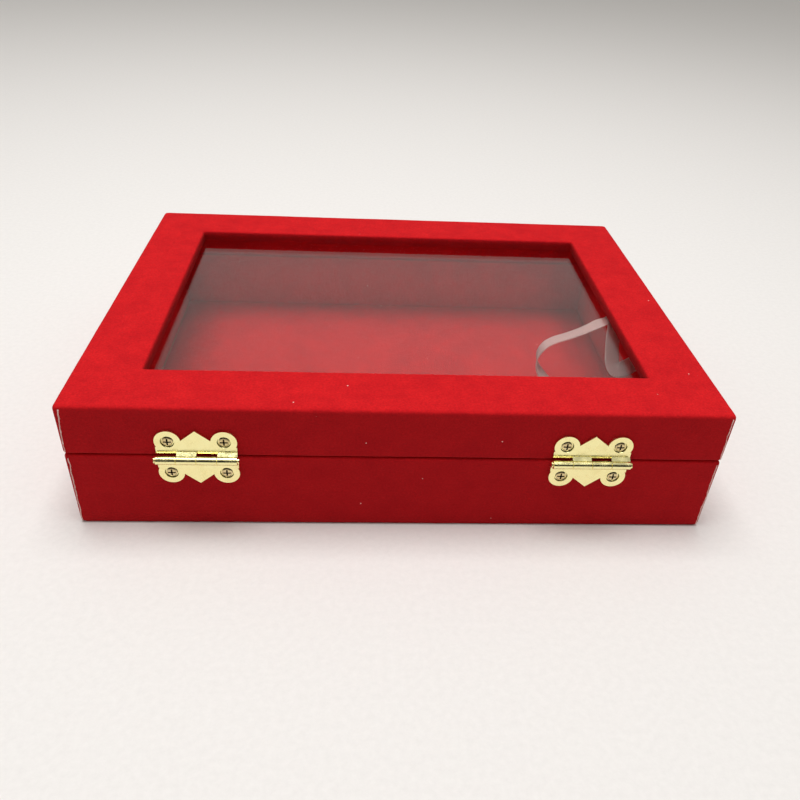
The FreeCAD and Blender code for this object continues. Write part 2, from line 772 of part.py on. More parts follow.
def clasp_tongue():
    """The hinged tongue: knuckle, plate with an eye for the stud, and a rolled lip.

    Its own frame has the clasp pin along X through the origin and the plate hanging along -Y.
    """
    body = body_named("tongue")
    inner = "-$leaf/2-$tongue_set"
    face = sketch_on(body, "tongue_face", "XY_Plane", inner)
    half = "$tongue_half_width"
    draw_outline(
        face,
        (
            ("$clasp_half_knuckle", "-$clasp_knuckle/3"),
            ("-$clasp_half_knuckle", "-$clasp_knuckle/3"),
            ("-$clasp_half_knuckle", "-$tongue_neck"),
            (f"-{half}", "-$tongue_shoulder"),
            (f"-{half}", "-$tongue_taper"),
            ("-$tongue_tip_half", "-$tongue_reach"),
            ("$tongue_tip_half", "-$tongue_reach"),
            (half, "-$tongue_taper"),
            (half, "-$tongue_shoulder"),
            ("$clasp_half_knuckle", "-$tongue_neck"),
        ),
    )
    pad(body, "tongue_plate", face, "$leaf")
    curl = sketch_on(body, "tongue_curl", "YZ_Plane", "-$clasp_half_knuckle")
    draw_circle(curl, "0", "0", "$clasp_knuckle")
    pad(body, "tongue_knuckle", curl, "2*$clasp_half_knuckle")
    lip = sketch_on(body, "tongue_lip_end", "YZ_Plane", f"-{half}/2")
    draw_circle(lip, "-$tongue_reach", "$lip_radius-$leaf/2", "$lip_radius")
    pad(body, "tongue_lip", lip, half)
    for index, sign in enumerate("-+"):
        end = sketch_on(body, f"tongue_eye_end{index}", "XY_Plane", "$lip_radius")
        draw_circle(end, "0", f"-$tongue_eye{sign}$eye_stretch", "$eye_half_width")
        pocket(body, f"tongue_eye_round{index}", end, "2*$lip_radius+$leaf")
    middle = sketch_on(body, "tongue_eye_middle", "XY_Plane", "$lip_radius")
    draw_outline(
        middle,
        (
            ("-$eye_half_width", "-$tongue_eye-$eye_stretch"),
            ("$eye_half_width", "-$tongue_eye-$eye_stretch"),
            ("$eye_half_width", "-$tongue_eye+$eye_stretch"),
            ("-$eye_half_width", "-$tongue_eye+$eye_stretch"),
        ),
    )
    pocket(body, "tongue_eye_slot", middle, "2*$lip_radius+$leaf")
    pin_bore(body, "0", "0", "$clasp_pin_radius+$pin_play")
    tilt = FreeCAD.Rotation(ALONG_X, -number("$tongue_tilt"))
    place(
        body,
        "0",
        f"-({HALF_DEPTH})-$clasp_pin_standoff",
        "$seam_height+$clasp_pin_height",
        tilt.multiply(ON_FRONT),
    )
    return body


def clasp_pin():
    """The plain pin through the clasp's three knuckles."""
    reach = "$clasp_half_knuckle+$knuckle_gap+$clasp_outer_knuckle"
    return rod(
        "clasp_rod",
        "$clasp_pin_radius",
        f"2*({reach}+$pin_proud)",
        f"-({reach})-$pin_proud",
        f"-({HALF_DEPTH})-$clasp_pin_standoff",
        "$seam_height+$clasp_pin_height",
        FreeCAD.Rotation(ALONG_Y, 90),
    )


def catch_plate():
    """The plate on the tray with round ends and the stud that the tongue snaps over."""
    body = body_named("catch")
    middle = sketch_on(body, "catch_middle", "XY_Plane")
    draw_outline(
        middle,
        (
            ("-$catch_spread", "-$catch_height-$catch_radius"),
            ("$catch_spread", "-$catch_height-$catch_radius"),
            ("$catch_spread", "-$catch_height+$catch_radius"),
            ("-$catch_spread", "-$catch_height+$catch_radius"),
        ),
    )
    pad(body, "catch_bar", middle, "$leaf")
    ends = sketch_on(body, "catch_ends", "XY_Plane")
    for spot in ("-$catch_spread", "$catch_spread"):
        draw_circle(ends, spot, "-$catch_height", "$catch_radius")
    pad(body, "catch_round_ends", ends, "$leaf")
    neck = sketch_on(body, "catch_neck", "XY_Plane")
    draw_circle(neck, "0", "-$catch_height", "$stud_neck")
    pad(body, "catch_stud_neck", neck, "$stud_head_foot+$stud_head_side/2")
    head = sketch_on(body, "catch_head", "XY_Plane", "$stud_head_foot")
    draw_circle(head, "0", "-$catch_height", "$stud_radius")
    pad(body, "catch_stud_head", head, "$stud_head_side")
    crown = sketch_on(body, "catch_crown", "XY_Plane", "$stud_head_foot+$stud_head_side")
    draw_circle(crown, "0", "-$catch_height", "$stud_radius")
    cap = pad(body, "catch_stud_crown", crown, "$stud_rise-$stud_head_foot-$stud_head_side")
    cap.TaperAngle = CROWN_TAPER
    screw_seats(body, "$catch_spread", "-$catch_height")
    return on_front(body)


keep(clasp_lid_plate(), "clasp_lid_plate")
keep(clasp_tongue(), "clasp_tongue")
keep(clasp_pin(), "clasp_pin")
keep(catch_plate(), "clasp_catch_plate")
for half, spread, height in (
    ("lid", "$clasp_lid_spread", "$clasp_lid_screw"),
    ("catch", "$catch_spread", "-$catch_height"),
):
    fixing = screw_pair(
        f"clasp_{half}_pair",
        spread,
        height,
        "$head_cone",
        ON_FRONT,
        "0",
        f"-({HALF_DEPTH})",
        "$seam_height",
    )
    keep(fixing, f"clasp_{half}_screws")

# ---- ribbon --------------------------------------------------------------------------------


def rounded_route(points):
    """Straight runs joined by tangent arcs, each as large as its two runs allow."""
    corners = [FreeCAD.Vector(*p) for p in points]
    edges = []
    radii = []
    here = corners[0]
    for before, corner, after in zip(corners, corners[1:], corners[2:]):
        come, leave = corner - before, after - corner
        turn = come.getAngle(leave)
        cut = BEND_SHARE * min(come.Length, leave.Length)
        radii.append(cut / math.tan(turn / 2))
        come.normalize()
        leave.normalize()
        start, end = corner - come * cut, corner + leave * cut
        inward = leave - come
        inward.normalize()
        sagitta = radii[-1] * (1 / math.cos(turn / 2) - 1)
        middle = corner + inward * sagitta
        edges.append(Part.LineSegment(here, start).toShape())
        edges.append(Part.Arc(start, middle, end).toShape())
        here = end
    edges.append(Part.LineSegment(here, corners[-1]).toShape())
    return Part.Wire(edges), radii


def lid_stay():
    """The satin ribbon as one flat band, drawn along its route."""
    route, radii = rounded_route(RIBBON_ROUTE)
    width, thick = number("$ribbon_width"), number("$ribbon_thick")
    across = Part.makePlane(width, thick, FreeCAD.Vector(-width / 2, -thick / 2, 0), ALONG_Z)
    start = route.Vertexes[0].Point
    heading = FreeCAD.Vector(*RIBBON_ROUTE[1]) - FreeCAD.Vector(*RIBBON_ROUTE[0])
    upright = FreeCAD.Rotation(heading.cross(ALONG_Z), ALONG_Z, heading, "ZXY")
    across.Placement = FreeCAD.Placement(start, upright)
    sweep = Part.BRepOffsetAPI.MakePipeShell(route)
    sweep.setFrenetMode(False)
    sweep.add(Part.Wire(across.Edges))
    sweep.build()
    sweep.makeSolid()
    band = doc.addObject("Part::Feature", "ribbon")
    band.Shape = sweep.shape()
    expected = width * thick * route.Length
    share = band.Shape.Volume / expected
    print(f"ribbon: length {route.Length:.1f}, least radius {min(radii):.1f}, volume share {share:.3f}")
    if abs(share - 1) > VOLUME_TOLERANCE:
        raise RuntimeError("the ribbon's solid isn't its section times its length")
    return band


keep(lid_stay(), "lid_stay_ribbon")

# ---- checks and files ----------------------------------------------------------------------

doc.recompute()
for thing in doc.Objects:
    if {"Invalid", "Error"} & set(thing.State):
        raise RuntimeError(f"{thing.Name} failed: {thing.State}")
for thing in made:
    if thing.Shape.isNull() or not thing.Shape.isValid():
        raise RuntimeError(f"{thing.Label} has no valid shape")

os.makedirs(PARTS_FOLDER, exist_ok=True)
for thing in made:
    thing.Shape.exportStep(os.path.join(PARTS_FOLDER, f"{thing.Label}.step"))
print(f"{len(made)} sub-parts written")
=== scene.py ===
"""Looks of a velvet-covered coin display tray with a hinged glass lid.

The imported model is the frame: its boards, hinges, clasp and screws keep their shapes and get
real finishes here. The velvet, the lining strips, the glass and the ribbon are built here.

Frame: +Z up, -Y the clasp, +Y the hinges, and the origin on the table under the box's middle.
"""

import logging
import math
import random
from collections.abc import Callable, Iterable, Sequence
from dataclasses import dataclass
from enum import Enum

import bmesh
import bpy
import numpy as np
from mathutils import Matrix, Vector, noise


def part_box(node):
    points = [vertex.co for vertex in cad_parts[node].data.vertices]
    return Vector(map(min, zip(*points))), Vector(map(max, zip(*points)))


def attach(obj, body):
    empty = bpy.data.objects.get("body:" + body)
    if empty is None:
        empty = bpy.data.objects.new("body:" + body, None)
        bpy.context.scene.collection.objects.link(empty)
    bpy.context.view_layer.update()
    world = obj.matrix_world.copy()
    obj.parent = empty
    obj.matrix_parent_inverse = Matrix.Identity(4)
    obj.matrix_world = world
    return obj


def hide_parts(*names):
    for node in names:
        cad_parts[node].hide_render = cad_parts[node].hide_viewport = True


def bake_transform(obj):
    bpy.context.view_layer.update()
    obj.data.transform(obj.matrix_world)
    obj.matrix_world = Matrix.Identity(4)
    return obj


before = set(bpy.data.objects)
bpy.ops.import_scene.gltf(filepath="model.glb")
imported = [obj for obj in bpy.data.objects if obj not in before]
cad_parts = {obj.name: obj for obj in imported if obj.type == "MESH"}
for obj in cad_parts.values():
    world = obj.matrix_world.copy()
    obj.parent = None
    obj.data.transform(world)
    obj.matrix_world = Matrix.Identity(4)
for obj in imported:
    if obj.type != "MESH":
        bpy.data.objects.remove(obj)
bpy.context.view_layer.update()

MM = 0.001
# The wave texture multiplies its coordinate by 20 before it takes the sine.
WAVE_PHASE = 20
log = logging.getLogger("display_tray")

Point = tuple[float, float, float]
Plan = tuple[float, float]


class Body(Enum):
    """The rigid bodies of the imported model."""

    TRAY = "tray"
    LID = "lid"


class Slot(Enum):
    """Material slot names for the new pieces."""

    OUTER_VELVET = "outer_velvet"
    LINING_VELVET = "lining_velvet"
    FLOOR_VELVET = "floor_velvet"
    COVER_PAPER = "cover_paper"
    GLASS = "glass"
    SATIN_RIBBON = "satin_ribbon"


# ---- colours and nodes ---------------------------------------------------------------------


def linear(tone: str) -> tuple[float, float, float, float]:
    """Turns an sRGB hex colour into linear values.

    Args:
        tone: A colour such as "#c8141a".

    Returns:
        Red, green, blue and an alpha of 1, in linear light.
    """
    channels = [int(tone[i : i + 2], 16) / 255 for i in (1, 3, 5)]
    lit = [c / 12.92 if c <= 0.04045 else ((c + 0.055) / 1.055) ** 2.4 for c in channels]
    return (lit[0], lit[1], lit[2], 1.0)


def add_node(
    tree: bpy.types.NodeTree,
    kind: str,
    settings: dict[str | int, object] | None = None,
    links: dict[str | int, bpy.types.NodeSocket] | None = None,
) -> bpy.types.Node:
    """Adds a node with its settings and links.

    Args:
        tree: The node tree to add to.
        kind: The node's type name.
        settings: Values by input name, input number or property name.
        links: Output sockets by the input that they feed.

    Returns:
        The new node.
    """
    node = tree.nodes.new(kind)
    for key, value in (settings or {}).items():
        if isinstance(key, int) or key in node.inputs:
            node.inputs[key].default_value = value
        else:
            setattr(node, key, value)
    for key, source in (links or {}).items():
        tree.links.new(source, node.inputs[key])
    return node


def empty_material(name: str) -> tuple[bpy.types.Material, bpy.types.NodeTree]:
    """Starts a material with no nodes yet.

    Args:
        name: The material's name.

    Returns:
        The material and its node tree.
    """
    material = bpy.data.materials.new(name)
    material.use_nodes = True
    material.node_tree.nodes.clear()
    return material, material.node_tree


def finish_surface(tree: bpy.types.NodeTree, shader: bpy.types.Node) -> None:
    """Sends a shader to the material's output."""
    add_node(tree, "ShaderNodeOutputMaterial", links={"Surface": shader.outputs[0]})


def scale_for(size_mm: float) -> float:
    """The texture scale that gives features of this size, with coordinates in metres."""
    return 1 / (size_mm * MM)


# ---- finishes ------------------------------------------------------------------------------


@dataclass(frozen=True)
class Velvet:
    """Short-pile flocked velvet: dyed nylon flock set upright on a woven backing.

    The eye sees a saturated, almost shineless face that clouds where the pile is brushed and
    glows along any edge that turns away.
    """

    name: str
    root: str = "#8c0910"
    # The next tone is the painted shade for upright faces.
    side_shade_tone: str = "#a80d16"
    pile: str = "#c8141c"
    brushed: str = "#da1b20"
    glow: str = "#ff4238"
    lint: str = "#e9c4bd"
    sheen: float = 0.14
    patch_mm: float = 7.0
    # Flock fibres are about 0.02 mm thick, far too fine to show, so the grain is coarser.
    grain_mm: float = 0.7
    speck_cell_mm: float = 8.0
    speck_mm: float = 0.22
    # Painted shade: upright faces get a darker tone mixed in, for the weaker light that reaches
    # them from overhead.
    painted_side_shade: float = 0.0

    def material(self) -> bpy.types.Material:
        """Builds the finish's node tree and returns its material."""
        material, tree = empty_material(self.name)
        place = add_node(tree, "ShaderNodeTexCoord").outputs["Object"]
        patches = add_node(
            tree,
            "ShaderNodeTexNoise",
            {"Scale": scale_for(self.patch_mm), "Detail": 5.0, "Roughness": 0.65},
            {"Vector": place},
        ).outputs[0]
        grain = add_node(
            tree,
            "ShaderNodeTexNoise",
            {"Scale": scale_for(self.grain_mm), "Detail": 3.0, "Roughness": 0.7},
            {"Vector": place},
        ).outputs[0]
        clouds = add_node(
            tree,
            "ShaderNodeMapRange",
            {"From Min": 0.34, "From Max": 0.66},
            {"Value": patches},
        ).outputs[0]
        speckle = add_node(
            tree,
            "ShaderNodeMapRange",
            {"From Min": 0.3, "From Max": 0.7, "To Max": 0.48},
            {"Value": grain},
        ).outputs[0]
        face = add_node(
            tree,
            "ShaderNodeMix",
            {"data_type": "RGBA", 6: linear(self.pile), 7: linear(self.brushed)},
            {0: clouds},
        ).outputs[2]
        # Painted shade on the upright faces.
        if self.painted_side_shade:
            face = self.paint_side_shade(tree, face)
        face = add_node(
            tree,
            "ShaderNodeMix",
            {"data_type": "RGBA", 7: linear(self.root)},
            {0: speckle, 6: face},
        ).outputs[2]
        cells = add_node(
            tree,
            "ShaderNodeTexVoronoi",
            {"Scale": scale_for(self.speck_cell_mm)},
            {"Vector": place},
        )
        near = add_node(
            tree,
            "ShaderNodeMath",
            {"operation": "LESS_THAN", 1: self.speck_mm / self.speck_cell_mm},
            {0: cells.outputs["Distance"]},
        ).outputs[0]
        face = add_node(
            tree,
            "ShaderNodeMix",
            {"data_type": "RGBA", 7: linear(self.lint)},
            {0: near, 6: face},
        ).outputs[2]
        height = add_node(
            tree,
            "ShaderNodeMath",
            {"operation": "MULTIPLY_ADD", 1: 0.55},
            {0: grain, 2: patches},
        ).outputs[0]
        bump = add_node(
            tree,
            "ShaderNodeBump",
            {"Strength": 0.8, "Distance": 0.5 * MM},
            {"Height": height},
        ).outputs[0]
        shader = add_node(
            tree,
            "ShaderNodeBsdfPrincipled",
            {
                "Roughness": 0.92,
                "Specular IOR Level": 0.12,
                "Sheen Weight": self.sheen,
                "Sheen Roughness": 0.45,
                "Sheen Tint": linear(self.glow),
            },
            {"Base Color": face, "Normal": bump},
        )
        finish_surface(tree, shader)
        return material

    def paint_side_shade(
        self, tree: bpy.types.NodeTree, face: bpy.types.NodeSocket
    ) -> bpy.types.NodeSocket:
        """Paints shade on the upright faces: mixes the darker tone in by how far each face turns
        from up.

        Args:
            tree: The material's node tree.
            face: The pile's colour so far.

        Returns:
            The colour with the painted side shade in it.
        """
        normal = add_node(tree, "ShaderNodeTexCoord").outputs["Normal"]
        parts = add_node(tree, "ShaderNodeSeparateXYZ", links={"Vector": normal})
        share = add_node(
            tree,
            "ShaderNodeMapRange",
            {"From Min": 0.25, "From Max": 0.85, "To Min": self.painted_side_shade, "To Max": 0.0},
            {"Value": parts.outputs["Z"]},
        ).outputs[0]
        return add_node(
            tree,
            "ShaderNodeMix",
            {"data_type": "RGBA", 7: linear(self.side_shade_tone)},
            {0: share, 6: face},
        ).outputs[2]


@dataclass(frozen=True)
class Grainy:
    """A dull surface of two mixed tones: raw cloth edge, fibreboard, card or cover paper.

    The eye sees no shine, only a mottled tone and a slight tooth.
    """

    name: str
    dark: str
    pale: str
    grain_mm: float
    tooth_mm: float = 0.1
    roughness: float = 0.9
    stretch: Point = (1.0, 1.0, 1.0)

    def material(self) -> bpy.types.Material:
        """Builds the finish's node tree and returns its material."""
        material, tree = empty_material(self.name)
        place = add_node(tree, "ShaderNodeTexCoord").outputs["Object"]
        laid = add_node(
            tree, "ShaderNodeMapping", {"Scale": self.stretch}, {"Vector": place}
        ).outputs[0]
        grain = add_node(
            tree,
            "ShaderNodeTexNoise",
            {"Scale": scale_for(self.grain_mm), "Detail": 6.0, "Roughness": 0.7},
            {"Vector": laid},
        ).outputs[0]
        spread = add_node(
            tree,
            "ShaderNodeMapRange",
            {"From Min": 0.32, "From Max": 0.68},
            {"Value": grain},
        ).outputs[0]
        face = add_node(
            tree,
            "ShaderNodeMix",
            {"data_type": "RGBA", 6: linear(self.dark), 7: linear(self.pale)},
            {0: spread},
        ).outputs[2]
        bump = add_node(
            tree,
            "ShaderNodeBump",
            {"Strength": 0.6, "Distance": self.tooth_mm * MM},
            {"Height": grain},
        ).outputs[0]
        shader = add_node(
            tree,
            "ShaderNodeBsdfPrincipled",
            {"Roughness": self.roughness, "Specular IOR Level": 0.2},
            {"Base Color": face, "Normal": bump},
        )
        finish_surface(tree, shader)
        return material


@dataclass(frozen=True)
class PlatedBrass:
    """Stamped steel with a bright, pale yellow brass plating.

    The eye sees a warm mirror that is slightly clouded by handling and by the stamping.
    """

    name: str
    bright: str = "#fffabe"
    warm: str = "#f9eca8"
    low: float = 0.14
    high: float = 0.34
    cloud_mm: float = 3.2
    dent_mm: float = 1.1
    # The recess of a screw head starts below this distance from the box's middle.
    recess_mm: float = 0.0
    # Painted shade for the cross recesses of the screw heads.
    recess_shade: str = "#17120a"

    def material(self) -> bpy.types.Material:
        """Builds the finish's node tree and returns its material."""
        material, tree = empty_material(self.name)
        place = add_node(tree, "ShaderNodeTexCoord").outputs["Object"]
        clouds = add_node(
            tree,
            "ShaderNodeTexNoise",
            {"Scale": scale_for(self.cloud_mm), "Detail": 4.0, "Roughness": 0.6},
            {"Vector": place},
        ).outputs[0]
        dents = add_node(
            tree,
            "ShaderNodeTexNoise",
            {"Scale": scale_for(self.dent_mm), "Detail": 2.0},
            {"Vector": place},
        ).outputs[0]
        tone = add_node(
            tree,
            "ShaderNodeMix",
            {"data_type": "RGBA", 6: linear(self.bright), 7: linear(self.warm)},
            {0: clouds},
        ).outputs[2]
        # Painted shade in the screw recesses.
        if self.recess_mm:
            tone = self.paint_recess_shade(tree, place, tone)
        dull = add_node(
            tree,
            "ShaderNodeMapRange",
            {"From Min": 0.35, "From Max": 0.7, "To Min": self.low, "To Max": self.high},
            {"Value": clouds},
        ).outputs[0]
        bump = add_node(
            tree,
            "ShaderNodeBump",
            {"Strength": 0.25, "Distance": 0.04 * MM},
            {"Height": dents},
        ).outputs[0]
        shader = add_node(
            tree,
            "ShaderNodeBsdfPrincipled",
            {"Metallic": 1.0},
            {"Base Color": tone, "Roughness": dull, "Normal": bump},
        )
        finish_surface(tree, shader)
        return material

    def paint_recess_shade(
        self,
        tree: bpy.types.NodeTree,
        place: bpy.types.NodeSocket,
        tone: bpy.types.NodeSocket,
    ) -> bpy.types.NodeSocket:
        """Paints shade on what lies below the heads' faces: the cross recesses are darkened to
        stand in for the shade inside them.

        Args:
            tree: The material's node tree.
            place: The place on the object, in metres.
            tone: The plating's colour so far.

        Returns:
            The colour with the dark recesses in it.
        """
        parts = add_node(tree, "ShaderNodeSeparateXYZ", links={"Vector": place})
        reach = add_node(
            tree, "ShaderNodeMath", {"operation": "ABSOLUTE"}, {0: parts.outputs["Y"]}
        ).outputs[0]
        share = add_node(
            tree,
            "ShaderNodeMapRange",
            {"From Min": (self.recess_mm - 0.1) * MM, "From Max": self.recess_mm * MM},
            {"Value": reach},
        ).outputs[0]
        return add_node(
            tree,
            "ShaderNodeMix",
            {"data_type": "RGBA", 6: linear(self.recess_shade)},
            {0: share, 7: tone},
        ).outputs[2]


@dataclass(frozen=True)
class FloatGlass:
    """Clear float glass, 2 mm thick.

    The eye sees the room as a pale veil over what lies below, stronger at a low angle.
    """

    name: str
    tint: str = "#f4faf7"
    roughness: float = 0.02
    ior: float = 1.52

    def material(self) -> bpy.types.Material:
        """Builds the finish's node tree and returns its material."""
        material, tree = empty_material(self.name)
        shader = add_node(
            tree,
            "ShaderNodeBsdfPrincipled",
            {
                "Base Color": linear(self.tint),
                "Roughness": self.roughness,
                "IOR": self.ior,
                "Transmission Weight": 1.0,
            },
        )
        finish_surface(tree, shader)
        return material


@dataclass(frozen=True)
class Satin:
    """Woven polyester satin, off-white, with its tones painted pinker and darker for the red
    bounce light and shade inside the box.

    The eye sees a soft stripe of light that runs along the ribbon wherever it bends.
    """

    name: str
    # Both tones are pinker and darker than the off-white satin: painted bounce light from the red
    # velvet around it, and painted shade.
    weft: str = "#cba5a2"
    warp: str = "#dfc0bd"
    thinness: float = 0.62
    # Satin threads are about 0.1 mm apart, so the ribs are drawn coarser to show at all.
    rib_mm: float = 0.3

    def material(self) -> bpy.types.Material:
        """Builds the finish's node tree and returns its material."""
        material, tree = empty_material(self.name)
        place = add_node(tree, "ShaderNodeTexCoord").outputs["UV"]
        ribs = add_node(
            tree,
            "ShaderNodeTexWave",
            {
                "bands_direction": "Y",
                "Scale": scale_for(self.rib_mm) * math.tau / WAVE_PHASE,
                "Distortion": 0.4,
            },
            {"Vector": place},
        ).outputs[1]
        face = add_node(
            tree,
            "ShaderNodeMix",
            {"data_type": "RGBA", 6: linear(self.weft), 7: linear(self.warp)},
            {0: ribs},
        ).outputs[2]
        bump = add_node(
            tree,
            "ShaderNodeBump",
            {"Strength": 0.25, "Distance": 0.05 * MM},
            {"Height": ribs},
        ).outputs[0]
        shader = add_node(
            tree,
            "ShaderNodeBsdfPrincipled",
            {
                "Roughness": 0.38,
                "Specular IOR Level": 0.6,
                "Anisotropic": 0.5,
                "Sheen Weight": 0.1,
            },
            {"Base Color": face, "Normal": bump},
        )
        # The weave is thin enough for light from behind to show through it.
        through = add_node(tree, "ShaderNodeBsdfTranslucent", links={"Color": face})
        cloth = add_node(
            tree,
            "ShaderNodeMixShader",
            {0: self.thinness},
            {1: shader.outputs[0], 2: through.outputs[0]},
        )
        finish_surface(tree, cloth)
        return material


# The cover's velvet gets painted shade on its upright faces.
OUTER_VELVET = Velvet("flocked_velvet_red", painted_side_shade=0.55)
# The lining and floor velvets are darker copies of the cover's velvet: painted shade for the
# inside of the shut box, with the floor darker still.
LINING_VELVET = Velvet(
    "flocked_velvet_lining_shaded", "#880b12", "#a10e15", "#bd131b", "#cf1a20", sheen=0.12, patch_mm=9.0
)
FLOOR_VELVET = Velvet(
    "flocked_velvet_floor_shaded", "#700810", "#820b12", "#980f16", "#ac161a", sheen=0.1, patch_mm=9.0
)
CUT_CLOTH = Grainy("cut_cloth_edge", "#d8988f", "#f8ddd6", 0.7)
FIBREBOARD = Grainy("fibreboard", "#7d6244", "#a88a64", 1.4)
GREY_CARD = Grainy("grey_card", "#8f8c86", "#b5b2aa", 0.8)
COVER_PAPER = Grainy("flocked_cover_paper", "#141416", "#26262a", 0.6, 0.15)
BRASS = PlatedBrass("brass_plating")
SCREW_BRASS = PlatedBrass(
    "brass_screw_plating", "#e9dcae", "#d8bd82", low=0.24, high=0.44, recess_mm=75.55
)
GLASS = FloatGlass("float_glass")
SATIN = Satin("satin_ribbon_white")


# ---- mesh helpers --------------------------------------------------------------------------


def mesh_piece(
    name: str,
    points: np.ndarray | Sequence[Point],
    faces: Sequence[Sequence[int]],
    material: bpy.types.Material,
    smooth: bool = True,
) -> bpy.types.Object:
    """Makes an object from points in millimetres.

    Args:
        name: The piece's name.
        points: The corners, in millimetres in the part's frame.
        faces: The corner numbers of each face.
        material: The piece's finish.
        smooth: Whether its faces shade smoothly.

    Returns:
        The new object, linked to the scene.
    """
    mesh = bpy.data.meshes.new(name)
    mesh.from_pydata([tuple(float(c) * MM for c in p) for p in points], [], faces)
    mesh.update()
    shape = bmesh.new()
    shape.from_mesh(mesh)
    bmesh.ops.recalc_face_normals(shape, faces=shape.faces)
    shape.to_mesh(mesh)
    shape.free()
    mesh.polygons.foreach_set("use_smooth", [smooth] * len(mesh.polygons))
    mesh.materials.append(material)
    piece = bpy.data.objects.new(name, mesh)
    bpy.context.scene.collection.objects.link(piece)
    return piece


def sway(place: Vector, size_mm: float, seed: float = 0.0) -> float:
    """Smooth noise from about -1 to 1 at a place in millimetres, with features of a size."""
    return noise.noise(place / size_mm + Vector((seed, seed * 0.37, seed * 0.71)))


def settle(
    piece: bpy.types.Object, depth: Callable[[Vector], float]
) -> bpy.types.Object:
    """Moves each vertex along its normal by a depth in millimetres.

    Args:
        piece: The mesh to change.
        depth: Gives the move for a place in millimetres, positive outwards.

    Returns:
        The same piece.
    """
    mesh = piece.data
    normals = [v.normal.copy() for v in mesh.vertices]
    for vertex, normal in zip(mesh.vertices, normals):
        vertex.co += normal * depth(vertex.co / MM) * MM
    mesh.update()
    return piece


def present(
    piece: bpy.types.Object, body: Body, slot: Slot, *nodes: str
) -> bpy.types.Object:
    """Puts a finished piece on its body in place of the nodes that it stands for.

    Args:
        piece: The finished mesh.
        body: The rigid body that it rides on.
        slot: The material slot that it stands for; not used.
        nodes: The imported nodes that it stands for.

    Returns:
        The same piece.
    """
    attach(piece, body.value)
    if nodes:
        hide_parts(*nodes)
    log.info("%s: %d faces on %s", piece.name, len(piece.data.polygons), body.value)
    return piece


# ---- velvet covers -------------------------------------------------------------------------


@dataclass(frozen=True)
class Turn:
    """A corner of a cloth's section: how far in from the box's side, its height and radius."""

    inset: float
    height: float
    radius: float = 0.0


@dataclass
class ClothCover:
    """Velvet glued round a rectangular box, as one section carried round a rounded rectangle.

    The section is closed: the pile's face first, then the glued face.
    """

    name: str
    body: Body
    section: tuple[Turn, ...]
    stands_for: str
    half_x: float
    half_y: float
    corner: float = 1.3
    corner_shrink: float = 0.045
    least_corner: float = 0.4
    step: float = 2.4
    arc_steps: int = 5
    slack: float = 0.1
    fray: float = 0.05

    def section_points(self) -> list[Plan]:
        """The section with its corners rounded and its straight runs divided."""
        turns = self.section
        rounded: list[Plan] = []
        for before, turn, after in zip(turns[-1:] + turns, turns, turns[1:] + turns[:1]):
            here = Vector((turn.inset, turn.height))
            if turn.radius <= 0:
                rounded.append((here.x, here.y))
                continue
            back = (Vector((before.inset, before.height)) - here).normalized()
            ahead = (Vector((after.inset, after.height)) - here).normalized()
            for i in range(self.arc_steps + 1):
                t = i / self.arc_steps
                spot = here + back * turn.radius * (1 - t) ** 2 + ahead * turn.radius * t**2
                rounded.append((spot.x, spot.y))
        divided: list[Plan] = []
        for start, end in zip(rounded, rounded[1:] + rounded[:1]):
            count = max(1, round(math.dist(start, end) / self.step))
            for i in range(count):
                share = i / count
                divided.append(
                    (
                        start[0] + (end[0] - start[0]) * share,
                        start[1] + (end[1] - start[1]) * share,
                    )
                )
        return divided

    def ring(self, inset: float) -> list[Plan]:
        """The rounded rectangle at an inset, with the same number of points at every inset.

        Args:
            inset: How far in from the box's sides it runs, in millimetres.

        Returns:
            Its points, seen from above.
        """
        radius = max(self.least_corner, self.corner - self.corner_shrink * inset)
        reach_x, reach_y = self.half_x - inset - radius, self.half_y - inset - radius
        counts = (round(2 * self.half_x / self.step), round(2 * self.half_y / self.step))
        points: list[Plan] = []
        for quarter, (sx, sy) in enumerate(((1, 1), (-1, 1), (-1, -1), (1, -1))):
            centre = Vector((sx * reach_x, sy * reach_y))
            for i in range(self.arc_steps + 1):
                angle = math.radians(90 * (quarter + i / self.arc_steps))
                spot = centre + radius * Vector((math.cos(angle), math.sin(angle)))
                points.append((spot.x, spot.y))
            last = Vector(points[-1])
            along = (Vector((-1, 0)), Vector((0, -1)), Vector((1, 0)), Vector((0, 1)))[quarter]
            length = 2 * (reach_x if quarter % 2 == 0 else reach_y)
            count = counts[quarter % 2]
            for i in range(1, count):
                spot = last + along * length * i / count
                points.append((spot.x, spot.y))
        return points

    def hollow(self, place: Vector) -> float:
        """How far the face dips at a place: slack glue, board waves and uneven pile.

        Args:
            place: The place on the face, in millimetres.

        Returns:
            The move along the normal, negative inwards.
        """
        waves = 0.5 + 0.5 * sway(place, 21.0)
        ripple = sway(place, 5.0, 3.0)
        tufts = sway(place, 1.6, 7.0)
        return -self.slack * waves + self.fray * (ripple * 0.35 + tufts * 0.5 - 0.5)

    def build(self, finish: Velvet) -> bpy.types.Object:
        """Builds the cover and puts it in place of its plain solid.

        Args:
            finish: The cover's velvet.

        Returns:
            The cover.
        """
        rows = [
            [(x, y, height) for x, y in self.ring(inset)]
            for inset, height in self.section_points()
        ]
        around = len(rows[0])
        points = [p for row in rows for p in row]
        faces = []
        for i in range(len(rows)):
            for j in range(around):
                k, m = (i + 1) % len(rows), (j + 1) % around
                faces.append(
                    (i * around + j, i * around + m, k * around + m, k * around + j)
                )
        piece = mesh_piece(self.name, points, faces, finish.material())
        settle(piece, self.hollow)
        return present(piece, self.body, Slot.OUTER_VELVET, self.stands_for)


